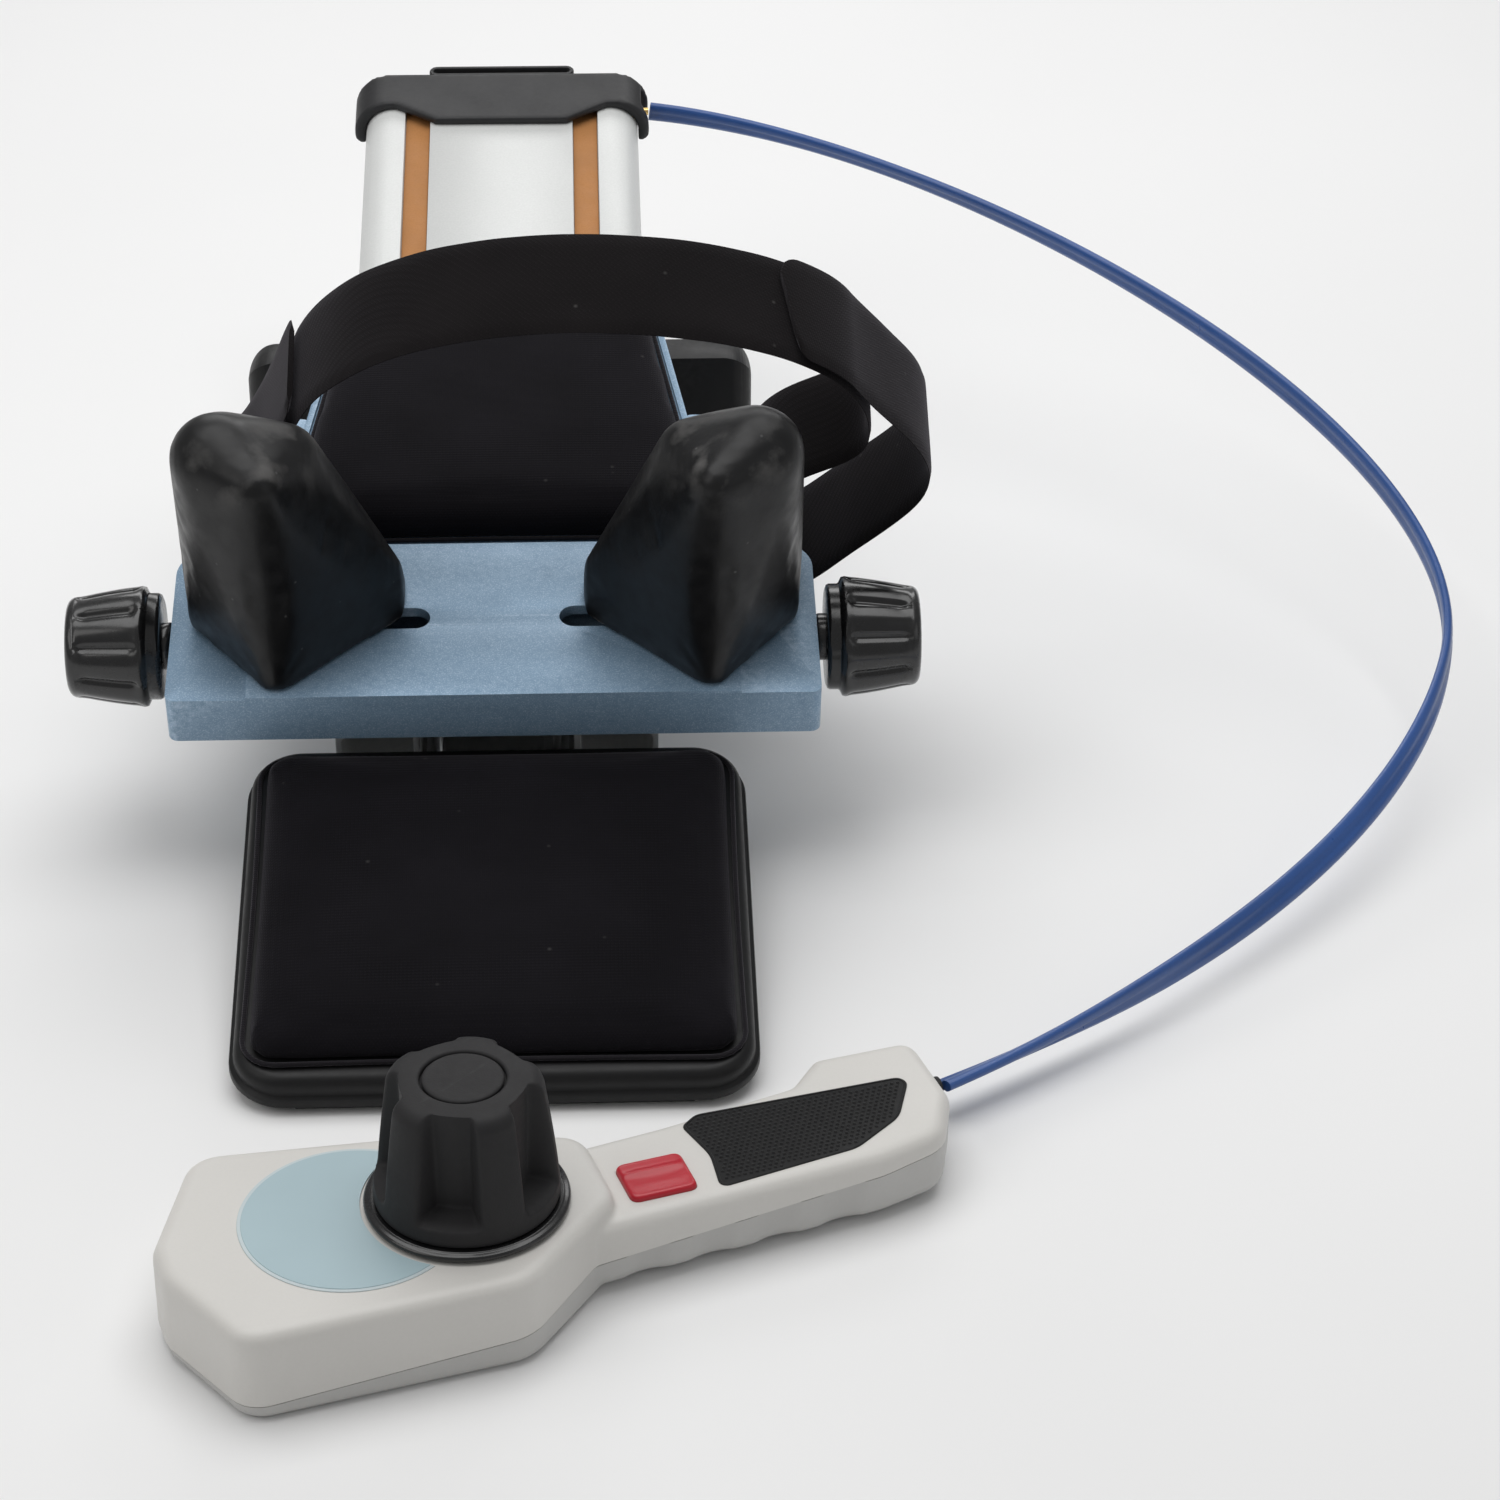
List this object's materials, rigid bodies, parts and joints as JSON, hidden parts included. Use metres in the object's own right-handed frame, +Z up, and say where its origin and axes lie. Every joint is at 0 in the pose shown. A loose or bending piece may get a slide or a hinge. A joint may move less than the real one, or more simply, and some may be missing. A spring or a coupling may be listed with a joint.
{
  "type": "cervical traction device",
  "caption": "Inclined neck traction frame: shoulder pad, sliding head carriage with two screw-adjusted neck wedges, cushion and strap, folding stand, and a hand pump on a flat hose.",
  "frame": {"origin": "middle of the front foot's rest face, on the floor under the shoulder plate's front edge", "axes": "+Z up; +Y from the shoulder pad up the incline towards the end cap; +X to the right of someone standing in front of the shoulder pad"},
  "size_m": [0.5816, 0.8003, 0.2537],
  "materials": {
    "track_paint": "satin light grey powder coat",
    "glide_tan": "matt tan low-friction strip",
    "cap_black": "satin moulded",
    "plate_black": "satin moulded",
    "gloss_black": "gloss moulded",
    "carriage_blue": "fine satin steel blue",
    "cushion_fabric": "matt knitted cover",
    "strap_fabric": "woven loop band",
    "wedge_foam": "satin skinned foam",
    "knob_rubber": "matt moulded rubber",
    "handset_light": "satin moulded",
    "handset_grey": "satin moulded",
    "label_blue": "printed film",
    "inlay_black": "dotted grip rubber",
    "button_red": "satin red",
    "hose_blue": "smooth flexible",
    "steel": "machined",
    "aluminium": "machined",
    "brass": "machined",
    "nylon": "moulded nylon",
    "seal_rubber": "matt"
  },
  "bodies": {
    "frame": {"track_extrusion": "track_paint", "glide_strips": "glide_tan", "end_cap": "cap_black", "carry_handle": "cap_black", "shoulder_plate": "plate_black", "shoulder_cushion": "cushion_fabric", "joining_bracket": "aluminium", "frame_screws": "steel", "front_foot": "seal_rubber", "stand_bracket": "steel", "stand_pin": "steel", "cylinder_tube": "aluminium", "cylinder_gland": "aluminium", "cylinder_plug": "aluminium", "cylinder_saddles": "cap_black", "air_line": "hose_blue", "swivel_post": "brass"},
    "carriage": {"head_carriage": "carriage_blue", "carriage_cover": "carriage_blue", "carriage_keeper": "aluminium", "slide_shoes": "nylon", "drive_lug": "aluminium", "piston_rod": "steel", "piston": "brass", "piston_seal": "seal_rubber", "rod_nuts": "steel", "head_cushion": "cushion_fabric", "head_strap": "strap_fabric", "carriage_screws": "steel", "spindle_bushes": "brass"},
    "wedge_right": {"wedge_pad_right": "wedge_foam", "wedge_carrier_right": "nylon"},
    "wedge_left": {"wedge_pad_left": "wedge_foam", "wedge_carrier_left": "nylon"},
    "wedge_screw": {"wedge_spindle": "steel", "side_knob_right": "gloss_black", "side_knob_left": "gloss_black"},
    "stand": {"stand_leg": "plate_black", "stand_feet": "seal_rubber"},
    "handset": {"handset_upper_shell": "handset_light", "handset_lower_shell": "handset_grey", "label_disc": "label_blue", "grip_inlay": "inlay_black", "pump_chamber": "aluminium", "spindle_gland": "brass", "valve_body": "brass", "pressure_tube": "hose_blue", "hose_connector": "seal_rubber", "air_hose": "hose_blue", "hose_swivel": "brass", "handset_screws": "steel", "button_spring": "steel"},
    "dial": {"control_knob": "knob_rubber", "knob_skirt": "gloss_black", "knob_cap": "knob_rubber", "dial_spindle": "steel"},
    "plunger": {"pump_plunger": "nylon", "plunger_seal": "seal_rubber"},
    "release_valve": {"release_button": "button_red", "valve_stem": "brass"}
  },
  "joints": [
    {"name": "carriage_slide", "type": "slide", "parent": "frame", "child": "carriage", "axis": [0, 0.9781, 0.2079], "range_m": [0, 0.075]},
    {"name": "wedge_right_slide", "type": "slide", "parent": "carriage", "child": "wedge_right", "axis": [-1, 0, 0], "range_m": [-0.006, 0.022]},
    {"name": "wedge_left_slide", "type": "slide", "parent": "carriage", "child": "wedge_left", "axis": [1, 0, 0], "range_m": [-0.00605, 0.02205]},
    {"name": "wedge_screw_turn", "type": "hinge", "parent": "carriage", "child": "wedge_screw", "pos_m": [0, 0.19117, 0.08556], "axis": [1, 0, 0], "range_deg": [-362, 1322]},
    {"name": "stand_fold", "type": "hinge", "parent": "frame", "child": "stand", "pos_m": [0, 0.40633, 0.06893], "axis": [1, 0, 0], "range_deg": [0, 102]},
    {"name": "handset_swing", "type": "hinge", "parent": "frame", "child": "handset", "pos_m": [0.057, 0.59937, 0.14676], "axis": [0, 0, 1], "range_deg": [-4, 5]},
    {"name": "dial_turn", "type": "hinge", "parent": "handset", "child": "dial", "pos_m": [-0.0075, -0.1125, 0], "axis": [0, 0, 1], "range_deg": [-1207, 0]},
    {"name": "plunger_slide", "type": "slide", "parent": "handset", "child": "plunger", "axis": [0, 0, -1], "range_m": [0, 0.01006]},
    {"name": "button_press", "type": "slide", "parent": "handset", "child": "release_valve", "axis": [0, 0, -1], "range_m": [0, 0.003], "stiffness_N_per_m": 600, "deforming": ["button_spring"]}
  ],
  "couplings": [
    {"joint": "wedge_left_slide", "follows": "wedge_right_slide", "ratio": 1},
    {"joint": "wedge_screw_turn", "follows": "wedge_right_slide", "rad_per_m": 1047.2},
    {"joint": "dial_turn", "follows": "carriage_slide", "rad_per_m": -280.49},
    {"joint": "plunger_slide", "follows": "carriage_slide", "ratio": 0.13392}
  ]
}
